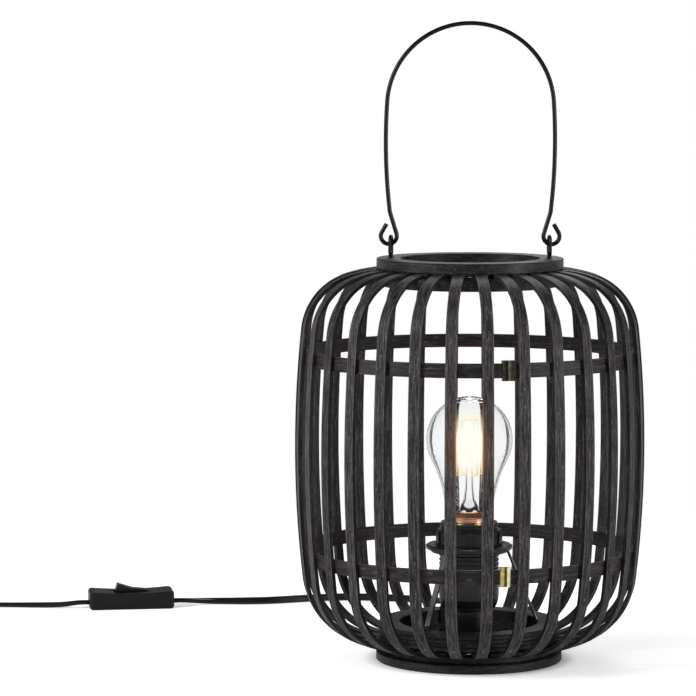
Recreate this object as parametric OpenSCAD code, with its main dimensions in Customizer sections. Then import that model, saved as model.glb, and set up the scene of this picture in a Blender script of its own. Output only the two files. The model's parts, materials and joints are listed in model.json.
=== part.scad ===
// Lantern table lamp: a bamboo slat cage with a wire bail, a lamp holder on a three-legged
// stand, a clear bulb, and a flat twin cord with an in-line rocker switch, a coil and a plug.
// The origin is on the table at the centre of the foot. The front is towards -Y.

/* [Cage] */
// Width of the cage over its widest slats
cage_d = 241.6; // [220:1:260]
// Height from the underside of the slats at the foot to their top at the neck
cage_rise = 261; // [245:1:285]
// Number of slats
slat_count = 30; // [24:2:34]
// Width of a slat
slat_w = 7.6; // [6:0.1:9]
// Thickness of a slat
slat_t = 2.6; // [2:0.1:3]
// Tilt at which the top bend becomes the tighter shoulder
top_ease_angle = 18; // [14:1:26]
// Radius of the top shoulder, on the outside
top_shoulder_r = 44; // [38:1:50]
// Tilt left in the side where the top shoulder ends
top_side_angle = 6; // [5:0.5:7]
// Tilt at which the bottom bend becomes the tighter shoulder
bottom_ease_angle = 25; // [20:1:30]
// Radius of the bottom shoulder, on the outside
bottom_shoulder_r = 51; // [45:1:57]
// Tilt left in the side where the bottom shoulder ends
bottom_side_angle = 6.5; // [5.5:0.5:7.5]
// Length of slat held between the rings
slat_grip = 10; // [8:0.5:11]

/* [Rings] */
// Bore through the rim and the collar, as a radius
ring_bore_r = 48; // [44:0.5:49]
// How far the bore of the three lower rings lies inside the slats' bend
base_ring_w = 12; // [11:0.5:14]
// How far the foot ring stands past the slats' bend
foot_lip = 4.5; // [2:0.5:10]
// Height of the foot ring
foot_h = 6; // [5:0.5:8]
// How far the spacer ring on the foot lies inside the slats' bend
spacer_step = 1; // [0.5:0.5:3]
// Height of the spacer ring
spacer_h = 5; // [4.8:0.1:7]
// How far the base ring stands past the slats' bend
base_ring_lip = 2.5; // [1.5:0.1:4]
// Height of the base ring
base_ring_h = 12.9; // [10:0.1:16]
// Radius at which the slats bend away from the base
base_clamp_r = 60; // [59:0.5:62]
// Radius of the rim ring on top
rim_r = 64.5; // [62:0.5:68]
// Height of the rim ring
rim_h = 7.2; // [5.8:0.1:8]
// Radius of the collar ring under the slats
collar_r = 61; // [59:0.5:64]
// Height of the collar ring
collar_h = 9.3; // [7:0.1:12]
// Chamfer on the edges of the rings
ring_chamfer = 0.5; // [0.3:0.1:1]
// Depth of the turned grooves round the base ring
groove_depth = 0.6; // [0.3:0.1:0.9]

/* [Hoops] */
// Height of a hoop
hoop_h = 9.6; // [8:0.1:11]
// Thickness of a hoop
hoop_t = 2.4; // [1.8:0.1:3]
// Distance of the upper hoop above the widest level
upper_hoop_rise = 64.5; // [50:0.5:72]
// Distance of the lower hoop below the widest level
lower_hoop_drop = 73; // [55:0.5:78]
// Gap between a hoop and the slats outside it
hoop_gap = 0.1; // [0.05:0.05:0.2]
// Length of the upper hoop's clip
upper_clip_w = 9; // [6:0.5:10]
// Length of the lower hoop's clip
lower_clip_w = 7; // [5:0.5:10]
// Thickness of the clip's sheet
clip_t = 0.7; // [0.5:0.1:0.9]
// How far a clip stands past the hoop's edges
clip_lip = 1.9; // [1:0.1:2.4]

/* [Bail] */
// Diameter of the bail wire
bail_wire = 3; // [2.4:0.1:3.2]
// Radius of the bail's crown, at the wire's centre
bail_r = 57.3; // [55:0.1:61]
// Height of the crown's centre above the hinge
bail_h = 94.2; // [80:0.1:110]
// How much wider than the crown the legs are
bail_bulge = 0.8; // [0.4:0.1:1.2]
// Angle below the crown's ends over which a leg widens
bail_bulge_angle = 3.8; // [3:0.1:5]
// Radius of an end hook, at the wire's centre
hook_r = 5.5; // [5:0.1:5.8]
// Distance of a hook's centre outside its eye
hook_offset = 1.4; // [0.8:0.1:1.6]
// Lean of the neck above a hook
neck_angle = 17; // [14:1:21]
// Radius of the bend between the neck and the leg
neck_bend_r = 12; // [8:1:16]
// Angle of the hook past its outermost point
hook_end_angle = 30; // [20:1:40]
// Straight tip of a hook
hook_tip = 6.5; // [4:0.5:7]

/* [Eye screws] */
// Distance of an eye screw from the middle
eye_x = 54.6; // [53:0.1:57]
// Diameter of the eye's wire
eye_wire = 2; // [1.6:0.1:2.2]
// Width of the eye's hole
eye_hole_w = 5; // [5:0.1:5.6]
// Height of the eye's hole
eye_hole_h = 11.8; // [10.6:0.1:13]
// Height of the hinge above the rim
eye_rise = 9.7; // [9:0.1:12]
// How far the hinge lies above the lower end of the eye's hole
hinge_seat = 7.4; // [6.6:0.1:7.6]
// Turn of the eye about its shank
eye_turn = 12; // [0:1:14]
// Depth of the shank in the rim
shank_depth = 5; // [3:0.5:5.4]

/* [Lamp holder] */
// Height of the ledge that carries the stand
ledge_z = 75.2; // [70:0.1:80]
// Radius of the threaded barrel above the ledge
barrel_r = 19.9; // [19:0.1:20.5]
// Height of the barrel above the ledge
barrel_h = 20.8; // [18:0.1:24]
// Radius of the ribbed skirt below the ledge
skirt_r = 20.8; // [20.7:0.1:21.4]
// Height of the ribbed skirt
skirt_h = 21.2; // [18:0.1:23]
// Depth of the thread and the ribs
thread_depth = 0.6; // [0.3:0.1:0.8]
// Spacing of the thread and the ribs
thread_pitch = 2.75; // [2.25:0.25:3]
// Height of the dome cap under the skirt
dome_h = 20.6; // [18:0.1:22]
// Radius of the cord grip under the dome
grip_r = 15.3; // [14.5:0.1:16]
// Height of the cord grip
grip_h = 13.4; // [12:0.1:14]
// Radius of the shade ring's collar
shade_collar_r = 23.2; // [22.4:0.1:24]
// Height of the shade ring's collar
shade_collar_h = 10.5; // [8:0.1:12]
// Radius of the shade ring's flange
shade_flange_r = 30; // [28:0.5:32]
// Thickness of the shade ring's flange
shade_flange_h = 3.6; // [3:0.1:4.2]
// Outside radius of the brass screw shell
liner_r = 14.4; // [14.2:0.1:15]
// Thickness of the brass screw shell
liner_t = 0.6; // [0.4:0.1:0.7]
// Running gap round the lamp holder's pieces
holder_gap = 0.2; // [0.15:0.05:0.3]

/* [Stand] */
// Thickness of the stand's sheet
stand_t = 1.5; // [1.2:0.1:1.8]
// Width of a leg
leg_w = 4; // [3:0.1:6]
// Radius of the stand's washer
washer_r = 26.5; // [25:0.1:28]
// Height above the base ring at which a leg turns down
leg_turn = 2; // [1:0.5:4]
// Length of a leg's tab inside the bore
tab_len = 11; // [8:0.5:12]
// Gap between a tab and the bore
tab_gap = 0.2; // [0.1:0.05:0.3]
// Turn of the first leg from the front
first_leg = -37; // [-50:1:-25]

/* [Bulb] */
// Diameter of the bulb
bulb_d = 60; // [56:0.5:62]
// Height of the bulb with its cap
bulb_h = 105.5; // [100:0.5:112]
// Thickness of the glass
glass_t = 0.9; // [0.7:0.1:1.2]
// Radius of the glass neck
neck_r = 16.5; // [15.5:0.1:17]
// Angle below the middle where the neck's curve starts
neck_start = 28; // [25:1:30]
// Slope left at the foot of the neck
neck_end = 4; // [3:1:6]
// Radius of the screw cap
cap_r = 13.2; // [13:0.1:13.3]
// Height of the screw cap above the contact
cap_h = 21.2; // [20:0.1:24]
// Height of the glass stem
stem_h = 54; // [48:1:58]
// Height of the filaments' lower ends above the cap
filament_rise = 30; // [26:1:32]
// Length of a filament
filament_len = 38; // [32:1:40]
// Diameter of a filament
filament_d = 1.6; // [1.2:0.1:2]
// Distance of the filaments' lower ends from the middle
filament_spread = 11; // [8:0.5:12]

/* [Cord and switch] */
// Width of the flat twin cord
cord_w = 5.6; // [5:0.1:6]
// Thickness of the flat twin cord
cord_t = 3.4; // [2.8:0.1:3.5]
// Length of the switch
switch_len = 64; // [58:1:70]
// Width of the switch
switch_w = 25; // [23:0.5:28]
// Height of the switch at its ends
switch_h = 13.4; // [12.6:0.1:15]
// Depth of the hollow in the switch's top
switch_dip = 1.3; // [1:0.1:1.8]
// Height of the switch's base plate
switch_base_h = 3.4; // [3:0.1:3.8]
// Corner radius of the switch, seen from above
switch_corner = 3.5; // [2:0.5:5]
// Rounding of the switch's ends, seen from the side
switch_round = 2.4; // [1.5:0.1:3]
// Half the length of the rocker's top
rocker_half = 12; // [10:0.1:13]
// Half the width of the rocker
rocker_half_w = 4.6; // [4:0.1:5.5]
// Height of the rocker's ends above its pivot
rocker_rise = 5.6; // [5:0.1:6.2]
// Angle of each half of the rocker's top
rocker_vee = 6; // [4:0.5:8]
// Tilt of the rocker either side of the middle
rocker_tilt = 12; // [9:0.5:13]
// Diameter of the rocker's pivots
pivot_d = 2; // [1.6:0.1:2.2]
// Width of the plug
plug_w = 35.3; // [34:0.1:37]
// Thickness of the plug
plug_t = 13.7; // [13:0.1:15]
// Length of the plug's body
plug_len = 36; // [33:0.5:40]
// Diameter of a plug pin
pin_d = 4; // [3.9:0.1:4.8]
// Length of a plug pin
pin_len = 19; // [17:0.5:20]
// Spacing of the plug pins
pin_gap = 18.6; // [17.5:0.1:19]

/* [Hidden] */
$fn = 96;
function two_digits(i) = str(i < 10 ? "0" : "", i);
function slat_name(i) = str("slat_", two_digits(i));

// ---- Levels of the cage
slat_low_z = foot_h + spacer_h;
base_ring_r = base_clamp_r + base_ring_lip;
base_bore_r = base_clamp_r - base_ring_w;
spacer_r = base_clamp_r - spacer_step;
foot_r = base_clamp_r + foot_lip;
base_ring_z = slat_low_z + slat_t;
base_top_z = base_ring_z + base_ring_h;
slat_top_z = slat_low_z + cage_rise;
collar_top_z = slat_top_z - slat_t;
rim_top_z = slat_top_z + rim_h;

// ---- The slat's outer line: level, ease, shoulder, side, shoulder, ease, level.
// The ease radii and the side radius follow from the height and the two clamp radii.
cage_r = cage_d / 2;
ta = top_ease_angle;
tb = bottom_ease_angle;
ts = top_side_angle;
bs = bottom_side_angle;
run_top = cage_r - collar_r - top_shoulder_r * (cos(ts) - sin(ta));
run_bottom = cage_r - base_clamp_r - bottom_shoulder_r * (cos(bs) - sin(tb));
rise_left = cage_rise - top_shoulder_r * (cos(ta) - sin(ts)) - bottom_shoulder_r * (cos(tb) - sin(bs));
side_r = (rise_left - run_top * tan(ta / 2) - run_bottom * tan(tb / 2))
    / (sin(ts) + sin(bs) - (1 - cos(ts)) * tan(ta / 2) - (1 - cos(bs)) * tan(tb / 2));
top_ease_r = (run_top - side_r * (1 - cos(ts))) / sin(ta);
bottom_ease_r = (run_bottom - side_r * (1 - cos(bs))) / sin(tb);
function on_arc(c, r, a) = c + r * [sin(a), cos(a)];
top_ease_c = [collar_r, slat_top_z - top_ease_r];
top_shoulder_c = on_arc(top_ease_c, top_ease_r - top_shoulder_r, ta);
side_c = on_arc(top_shoulder_c, top_shoulder_r - side_r, 90 - ts);
bottom_shoulder_c = on_arc(side_c, side_r - bottom_shoulder_r, 90 + bs);
bottom_ease_c = on_arc(bottom_shoulder_c, bottom_shoulder_r - bottom_ease_r, 180 - tb);
widest_z = side_c[1];
// Radius of the slats' inner face at a height on the side
function slat_inner_r(z) = side_c[0] + sqrt(pow(side_r - slat_t, 2) - pow(z - widest_z, 2));

upper_hoop_z = widest_z + upper_hoop_rise;
lower_hoop_z = widest_z - lower_hoop_drop;
clip_azimuth = -90 + 360 / slat_count;
upper_clip_shift = 1;

// ---- Bail
hinge_z = rim_top_z + eye_rise;
hook_c = [eye_x + hook_offset, hinge_z + sqrt(hook_r * hook_r - hook_offset * hook_offset)];
crown_c = [0, hinge_z + bail_h];
function polar(c, r, a) = c + r * [cos(a), sin(a)];
hook_start_angle = 180 - neck_angle;
neck_low = polar(hook_c, hook_r, hook_start_angle);
hook_end = polar(hook_c, hook_r, hook_end_angle);
tip_end = hook_end + hook_tip * [-sin(hook_end_angle), cos(hook_end_angle)];
// A leg is an arc that meets the crown at the bulge angle. The bend below it touches both the
// leg's arc and the neck's line.
leg_r = bail_r + bail_bulge / (1 - cos(bail_bulge_angle));
leg_c = polar(crown_c, bail_r - leg_r, bail_bulge_angle);
leg_top = polar(crown_c, bail_r, bail_bulge_angle);
up_neck = [sin(neck_angle), cos(neck_angle)];
bend_start = neck_low + neck_bend_r * [-cos(neck_angle), sin(neck_angle)] - leg_c;
bend_run = sqrt(pow(bend_start * up_neck, 2) - bend_start * bend_start + pow(leg_r - neck_bend_r, 2))
    - bend_start * up_neck;
bend_c = leg_c + bend_start + bend_run * up_neck;
leg_angle = atan2(bend_c[1] - leg_c[1], bend_c[0] - leg_c[0]);
bend_high = polar(leg_c, leg_r, leg_angle);
bend_low = polar(bend_c, neck_bend_r, -neck_angle);

// ---- Lamp holder and bulb
washer_z = ledge_z;
flange_z = washer_z + stand_t;
barrel_top_z = ledge_z + barrel_h;
skirt_low_z = ledge_z - skirt_h;
dome_low_z = skirt_low_z - dome_h;
grip_low_z = dome_low_z - grip_h;
wall = 2.2;
holder_floor = 4;
liner_bore_r = liner_r + holder_gap;
liner_low_z = barrel_top_z - 21.8;
contact_z = liner_low_z + 3.6;
bulb_top_z = contact_z + bulb_h;
bulb_r = bulb_d / 2;
bulb_c = bulb_top_z - bulb_r;
neck_curve_r = (bulb_r * cos(neck_start) - neck_r) / (cos(neck_end) - cos(neck_start));
neck_low_z = bulb_c - bulb_r * sin(neck_start) - neck_curve_r * (sin(neck_start) - sin(neck_end));
cap_top_z = contact_z + cap_h;
spigot_r = 12.8;
spigot_h = 6;
cord_hole_r = cord_w / 2 + 0.9;
cord_start_z = dome_low_z + 2.6;

// ---- Cord. Points are x, y, z and the roll of the flat cord about its run.
switch_at = [-256, 208];
switch_yaw = 10;
switch_cord_z = 4.2;
function switch_end(side, out) = [
    switch_at[0] + side * (switch_len / 2 + out) * cos(switch_yaw),
    switch_at[1] + side * (switch_len / 2 + out) * sin(switch_yaw)
];
function at_z(p, z) = [p[0], p[1], z, 0];
slot_z = 8.4;
lamp_route = concat(
    [[0, 0, cord_start_z, 0], [0, 0, 30, 0], [0, 1.6, 21.7, 0], [0, 6.3, 14.7, 0], [0, 13.3, 10, 0]],
    [[0, 21.6, slot_z, 0], [0, 40, slot_z, 0], [0, 58, slot_z, 0], [0, 72, 8.1, 0], [1, 88, 6.2, 0]],
    [[3, 106, 3.6, 0], [6, 126, 2.1, 0], [10, 148, 1.8, 0], [14, 170, 1.8, 0], [16, 190, 1.8, 0]],
    [[13, 208, 1.8, 0], [4, 221, 1.8, 0], [-10, 227, 2.1, 12], [-28, 232, 2.5, 35], [-50, 237, 2.9, 60]],
    [[-72, 241, 3, 80], [-96, 242, 3, 90], [-118, 237, 3, 90], [-137, 229.5, 3, 88], [-152, 224, 3, 74]],
    [[-166, 222, 2.9, 62], [-181, 222, 2.7, 48], [-198, 222, 2.7, 30]],
    [at_z(switch_end(1, 8), switch_cord_z), at_z(switch_end(1, 0), switch_cord_z)]
);
coil_at = [-410, 163];
coil_inner_r = 25;
coil_pitch = 6.4;
coil_layer = 4.2;
coil_in = 2.5;
coil_out = 2.75;
coil_lie = 1.8;
coil_outer_r = coil_inner_r + coil_pitch * coil_in;
plug_at = [coil_at[0] - coil_inner_r - coil_pitch * coil_out, 130];
plug_route = concat(
    [at_z(switch_end(-1, 0), switch_cord_z), at_z(switch_end(-1, 8), switch_cord_z)],
    [[-309, 201, 2.6, 12], [-328, 202, 2.1, 10], [-350, 203, 1.9, 0], [-376, 204, 1.8, 0]],
    [[coil_at[0] + 2 * cord_w, coil_at[1] + coil_outer_r, coil_lie, 0]],
    [[coil_at[0] + cord_w, coil_at[1] + coil_outer_r, coil_lie, 0]]
);
cord_up = [0, 0.05, 1];
function unit(v) = v / norm(v);
function xyz(p) = [p[0], p[1], p[2]];
// A point on the smooth line through four route points, a share t of the way from the second
function blend(a, b, c, d, t) = 0.5 * (
    2 * b + (c - a) * t + (2 * a - 5 * b + 4 * c - d) * t * t + (3 * b - a - 3 * c + d) * t * t * t
);
function smooth(route, steps) = let (n = len(route) - 1) concat(
    [for (i = [0:n - 1], k = [0:steps - 1])
        blend(route[max(i - 1, 0)], route[i], route[i + 1], route[min(i + 2, n)], k / steps)],
    [route[n]]
);
function run_of(line) = len(line) < 2 ? 0
    : [for (i = 1, s = 0; i <= len(line); s = s + (i < len(line) ? norm(xyz(line[i]) - xyz(line[i - 1])) : 0),
        i = i + 1) s][len(line) - 1];
cord_sides = [[0.5, 0.2], [0.3, 0.5], [-0.3, 0.5], [-0.5, 0.2], [-0.5, -0.2], [-0.3, -0.5], [0.3, -0.5], [0.5, -0.2]];
coil_sides = [[0.5, 0], [0.27, 0.5], [-0.27, 0.5], [-0.5, 0], [-0.27, -0.5], [0.27, -0.5]];
// The corners of the cord's section at point i of a line
function ring(line, i, sides) = let (
    n = len(line) - 1,
    along = unit(xyz(line[min(i + 1, n)]) - xyz(line[max(i - 1, 0)])),
    side = unit(cross(along, cord_up)),
    over = cross(side, along),
    roll = line[i][3]
) [for (s = sides) let (u = s[0] * cord_w, v = s[1] * cord_t)
    xyz(line[i]) + (u * cos(roll) - v * sin(roll)) * side + (u * sin(roll) + v * cos(roll)) * over];
// The coil's centreline: in on the lower layer, up where it reverses, and out on the upper one
function coil_point(turn) = let (
    a = 90 + 360 * turn,
    r = coil_inner_r + coil_pitch * abs(turn - coil_in),
    climb = min(1, max(0, (turn - coil_in + 0.25) / 0.5)),
    z = coil_lie + coil_layer * climb * climb * (3 - 2 * climb)
) [coil_at[0] + r * cos(a), coil_at[1] + r * sin(a), z, 0];
coil_turns = coil_in + coil_out;
coil_line = concat(
    [[coil_at[0] + cord_w, coil_at[1] + coil_outer_r, coil_lie, 0]],
    [for (i = [0:24 * coil_turns]) coil_point(i / 24)],
    [[plug_at[0], coil_at[1] - cord_w, coil_lie + coil_layer, 0], [plug_at[0], 146, 5.6, 0]],
    [[plug_at[0], plug_at[1] + cord_w, plug_t / 2, 0], [plug_at[0], plug_at[1], plug_t / 2, 0]]
);

// ---- Shared shapes
// A band of the slat's section along an arc, whose outside has the radius r. It runs on a
// little at its start, into its neighbour.
module arc_band(c, r, from, to) {
    reach = 2 * r;
    back = from - 0.4 / r * 180 / PI;
    translate(c)
        intersection() {
            difference() {
                circle(r = r, $fn = 720);
                circle(r = r - slat_t, $fn = 720);
            }
            polygon([[0, 0], reach * [sin(back), cos(back)], reach * [sin(to), cos(to)]]);
        }
}

module slat_outline() {
    translate([collar_r - slat_grip, slat_top_z - slat_t])
        square([slat_grip, slat_t]);
    arc_band(top_ease_c, top_ease_r, 0, ta);
    arc_band(top_shoulder_c, top_shoulder_r, ta, 90 - ts);
    arc_band(side_c, side_r, 90 - ts, 90 + bs);
    arc_band(bottom_shoulder_c, bottom_shoulder_r, 90 + bs, 180 - tb);
    arc_band(bottom_ease_c, bottom_ease_r, 180 - tb, 180);
    translate([base_clamp_r - slat_grip, slat_low_z])
        square([slat_grip + 0.2, slat_t]);
}

module slat(i) {
    color("#2b2927")
        rotate([0, 0, -90 + (i - 0.5) * 360 / slat_count])
            rotate([90, 0, 0])
                linear_extrude(slat_w, center = true)
                    slat_outline();
}

// A flat ring with chamfered outer edges
module flat_ring(r, bore, low, high) {
    c = ring_chamfer;
    rotate_extrude()
        polygon([
            [bore + c, low], [r - c, low], [r, low + c], [r, high - c],
            [r - c, high], [bore + c, high], [bore, high - c], [bore, low + c]
        ]);
}

// The section of a hoop at the height z, grown by the lip along it and by the skin across it
module hoop_section(z, lip, skin) {
    half = hoop_h / 2 + lip;
    high_r = slat_inner_r(z + half) - hoop_gap;
    low_r = slat_inner_r(z - half) - hoop_gap;
    polygon([
        [low_r - hoop_t - skin, z - half], [low_r + skin, z - half],
        [high_r + skin, z + half], [high_r - hoop_t - skin, z + half]
    ]);
}

module hoop(z) {
    color("#262423")
        rotate_extrude()
            hoop_section(z, 0, 0);
}

// A clip is a thin sleeve with a thicker ridge along each of its ends
module hoop_clip(z, azimuth, width, tint) {
    sweep = width / slat_inner_r(z) * 180 / PI;
    ridge = sweep * 0.36;
    color(tint)
        difference() {
            union() {
                clip_band(z, azimuth - sweep / 2, sweep, clip_t / 2);
                clip_band(z, azimuth - sweep / 2, ridge, clip_t);
                clip_band(z, azimuth + sweep / 2 - ridge, ridge, clip_t);
            }
            rotate([0, 0, azimuth - sweep])
                rotate_extrude(angle = 2 * sweep)
                    hoop_section(z, 0.05, 0.02);
        }
}

module clip_band(z, from, sweep, skin) {
    rotate([0, 0, from])
        rotate_extrude(angle = sweep)
            hoop_section(z, clip_lip, skin);
}

// A stretch of round wire in the XZ plane, along an arc or a straight line
module wire_arc(c, r, from, to, d) {
    translate([c[0], 0, c[1]])
        rotate([90, 0, 0])
            rotate_extrude(angle = to - from, start = from)
                translate([r, 0])
                    circle(d = d, $fn = 24);
}

module wire_line(p, q, d) {
    along = q - p;
    translate([p[0], 0, p[1]])
        rotate([0, 90 - atan2(along[1], along[0]), 0])
            cylinder(d = d, h = norm(along), $fn = 24);
}

// ---- The cage's rings
module rim_ring() {
    color("#2a2827")
        difference() {
            flat_ring(rim_r, ring_bore_r, slat_top_z, rim_top_z);
            for (side = [-1, 1])
                translate([side * eye_x, 0, rim_top_z - shank_depth])
                    cylinder(d = eye_wire + 0.1, h = shank_depth + 1, $fn = 24);
        }
}

module collar_ring() {
    color("#1d1b1a")
        flat_ring(collar_r, ring_bore_r, collar_top_z - collar_h, collar_top_z);
}

module upper_hoop() {
    hoop(upper_hoop_z);
}

module lower_hoop() {
    hoop(lower_hoop_z);
}

module upper_hoop_clip() {
    hoop_clip(upper_hoop_z, clip_azimuth + upper_clip_shift, upper_clip_w, "#3a3722");
}

module lower_hoop_clip() {
    hoop_clip(lower_hoop_z, clip_azimuth, lower_clip_w, "#b9a45a");
}

// The base ring's lower edge is cut back where the slats bend away under it. Its side is
// built up of layers, with a groove at each joint.
module base_ring() {
    ease = base_ring_lip + 0.5;
    side_z = base_ring_z + ease / 2;
    layers = 4;
    layer_h = (base_top_z - ring_chamfer - side_z) / layers;
    color("#302e2d")
        rotate_extrude()
            polygon(concat(
                [[base_bore_r, base_ring_z], [base_ring_r - ease, base_ring_z], [base_ring_r, side_z]],
                [for (k = [1:layers - 1], e = [[-0.35, 0], [0, 1], [0.35, 0]])
                    [base_ring_r - groove_depth * e[1], side_z + k * layer_h + e[0]]],
                [[base_ring_r, base_top_z - ring_chamfer], [base_ring_r - ring_chamfer, base_top_z]],
                [[base_bore_r + ring_chamfer, base_top_z], [base_bore_r, base_top_z - ring_chamfer]]
            ));
}

// The spacer has a slot at the back for the cord
module spacer_ring() {
    slot_w = cord_w + 1.6;
    slot_h = cord_t / 2 + 0.6 + slot_z - foot_h;
    color("#1b1a19")
        difference() {
            flat_ring(spacer_r, base_bore_r, foot_h, slat_low_z);
            translate([-slot_w / 2, base_bore_r - 3, foot_h - 1])
                cube([slot_w, spacer_r - base_bore_r + 6, slot_h + 1]);
        }
}

module foot_ring() {
    color("#2a2827")
        flat_ring(foot_r, base_bore_r, 0, foot_h);
}

// ---- Bail and its eyes
// A joint of the wire, a hair fuller than the wire itself
module wire_joint(p, d) {
    translate([p[0], 0, p[1]])
        sphere(d = d + 0.06, $fn = 24);
}

module bail_half() {
    for (p = [leg_top, bend_high, bend_low, neck_low, hook_end])
        wire_joint(p, bail_wire);
    wire_arc(leg_c, leg_r, leg_angle, bail_bulge_angle, bail_wire);
    wire_arc(bend_c, neck_bend_r, -neck_angle, leg_angle, bail_wire);
    wire_line(bend_low, neck_low, bail_wire);
    wire_arc(hook_c, hook_r, hook_start_angle, 360 + hook_end_angle, bail_wire);
    wire_line(hook_end, tip_end, bail_wire);
}

module bail() {
    color("#151515") {
        wire_arc(crown_c, bail_r, bail_bulge_angle, 180 - bail_bulge_angle, bail_wire);
        bail_half();
        mirror([1, 0, 0])
            bail_half();
    }
}

module eye_screw() {
    r = (eye_hole_w + eye_wire) / 2;
    low = hinge_z - hinge_seat + eye_hole_w / 2;
    high = low + eye_hole_h - eye_hole_w;
    wire_arc([0, low], r, 180, 360, eye_wire);
    wire_arc([0, high], r, 0, 180, eye_wire);
    wire_line([r, low], [r, high], eye_wire);
    wire_line([-r, low], [-r, high], eye_wire);
    wire_line([0, rim_top_z - shank_depth], [0, low - r], eye_wire);
    translate([0, 0, rim_top_z])
        cylinder(r = eye_wire, h = 0.8, $fn = 24);
}

module eye_screws() {
    color("#1c1c1c")
        for (side = [-1, 1])
            translate([side * eye_x, 0, 0])
                rotate([0, 0, 90 + side * eye_turn])
                    eye_screw();
}

// ---- Lamp holder
// A band of rounded ridges from low to high, drawn as half of a section
function ridges(r, low, high) = let (n = floor((high - low) / thread_pitch), p = (high - low) / n)
    [for (k = [0:n - 1], e = [[0.1, 1], [0.35, 0], [0.65, 0], [0.9, 1]])
        [r - thread_depth * e[1], low + (k + e[0]) * p]];

module holder_body() {
    floor_z = liner_low_z - holder_floor;
    smooth_z = skirt_low_z + 8;
    color("#161718")
        rotate_extrude()
            polygon(concat(
                [[0, floor_z], [liner_bore_r, floor_z], [liner_bore_r, skirt_low_z + 1]],
                [[liner_bore_r, skirt_low_z], [skirt_r, skirt_low_z], [skirt_r, smooth_z]],
                ridges(skirt_r, smooth_z, ledge_z - 1),
                [[skirt_r, ledge_z - 1], [skirt_r, ledge_z], [barrel_r, ledge_z]],
                ridges(barrel_r, flange_z + shade_flange_h, barrel_top_z - 1),
                [[barrel_r - 0.4, barrel_top_z], [liner_bore_r + 1.2, barrel_top_z]],
                [[liner_bore_r, barrel_top_z - 1.2], [liner_bore_r, liner_low_z], [0, liner_low_z]]
            ));
}

// The dome narrows in a round shoulder to the cord grip
module holder_dome() {
    straight = 8;
    turn_r = skirt_r - grip_r;
    steps = 6;
    drop = dome_h - straight - 1;
    color("#101113")
        difference() {
            rotate_extrude()
                polygon(concat(
                    [[0, skirt_low_z], [skirt_r, skirt_low_z]],
                    [for (k = [0:steps]) let (a = 90 * k / steps)
                        [grip_r + turn_r * cos(a), skirt_low_z - straight - drop * sin(a)]],
                    [[grip_r, dome_low_z], [0, dome_low_z]]
                ));
            translate([0, 0, skirt_low_z - straight])
                cylinder(r = liner_bore_r, h = straight + 1);
            translate([0, 0, dome_low_z - 1])
                cylinder(r = spigot_r + holder_gap, h = spigot_h + 1 + holder_gap);
            translate([0, 0, dome_low_z])
                cylinder(r = 5, h = dome_h - straight + 1);
        }
}

// The grip's cavity flares downwards so that the cord can bend away to the back
module cord_grip() {
    throat_z = cord_start_z - 6;
    color("#15161a")
        difference() {
            union() {
                translate([0, 0, grip_low_z])
                    cylinder(r = grip_r, h = grip_h);
                translate([0, 0, dome_low_z - 1])
                    cylinder(r = spigot_r, h = spigot_h + 1);
            }
            translate([0, 0, throat_z - 1])
                cylinder(r = cord_hole_r, h = cord_start_z - throat_z + 1);
            translate([0, 0, grip_low_z - 1])
                cylinder(r1 = grip_r - wall, r2 = cord_hole_r, h = throat_z - grip_low_z + 1);
        }
}

// The shade ring's collar has finger grips cut round it
module shade_ring() {
    lip = 1.2;
    grips = 12;
    grip_w = 3.6;
    collar_z = flange_z + shade_flange_h;
    top = collar_z + shade_collar_h;
    color("#17181a")
        difference() {
            rotate_extrude()
                polygon([
                    [barrel_r + holder_gap, flange_z], [shade_flange_r - 2, flange_z],
                    [shade_flange_r, flange_z + 0.8], [shade_flange_r, collar_z - 0.8],
                    [shade_flange_r - lip, collar_z], [shade_collar_r, collar_z],
                    [shade_collar_r, top - 1.4], [shade_collar_r - 1.4, top], [barrel_r + holder_gap, top]
                ]);
            for (i = [1:grips])
                rotate([0, 0, 360 * i / grips])
                    translate([shade_collar_r - 1, -grip_w / 2, collar_z + 1.5])
                        cube([3, grip_w, shade_collar_h]);
        }
}

module screw_shell() {
    color("#b08d57")
        translate([0, 0, liner_low_z])
            difference() {
                cylinder(r = liner_r, h = barrel_top_z - liner_low_z - 2);
                translate([0, 0, liner_t])
                    cylinder(r = liner_r - liner_t, h = barrel_top_z);
                translate([0, 0, -1])
                    cylinder(r = 9, h = 3);
            }
}

// A bent strip on the holder's floor that meets the bulb
module centre_contact() {
    color("#c0a060")
        translate([0, 0, liner_low_z])
            rotate([90, 0, 0])
                linear_extrude(4, center = true)
                    polygon([
                        [-7, 0], [-2, 0], [5.4, contact_z - liner_low_z - 1], [5.4, contact_z - liner_low_z - 0.3],
                        [-3, contact_z - liner_low_z - 0.3], [-3, contact_z - liner_low_z - 1], [1, 1.6], [-7, 0.8]
                    ]);
}

// A washer under the shade ring with three strip legs that turn down inside the base ring
module stand() {
    tab_r = base_bore_r - tab_gap;
    turn_z = base_top_z + leg_turn;
    lean = atan2(tab_r - stand_t - washer_r, washer_z - turn_z);
    skew = stand_t * tan((90 - lean) / 2);
    color("#1a1a1a") {
        translate([0, 0, washer_z])
            difference() {
                cylinder(r = washer_r, h = stand_t);
                translate([0, 0, -1])
                    cylinder(r = barrel_r + holder_gap, h = stand_t + 2);
            }
        for (i = [0:2])
            rotate([0, 0, -90 + first_leg + 120 * i])
                rotate([90, 0, 0])
                    linear_extrude(leg_w, center = true)
                        polygon([
                            [washer_r - 4, washer_z], [washer_r - 4, washer_z + stand_t],
                            [washer_r + skew, washer_z + stand_t],
                            [tab_r, turn_z + stand_t * tan(lean / 2)], [tab_r, turn_z - tab_len],
                            [tab_r - stand_t, turn_z - tab_len], [tab_r - stand_t, turn_z], [washer_r, washer_z]
                        ]);
    }
}

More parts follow.
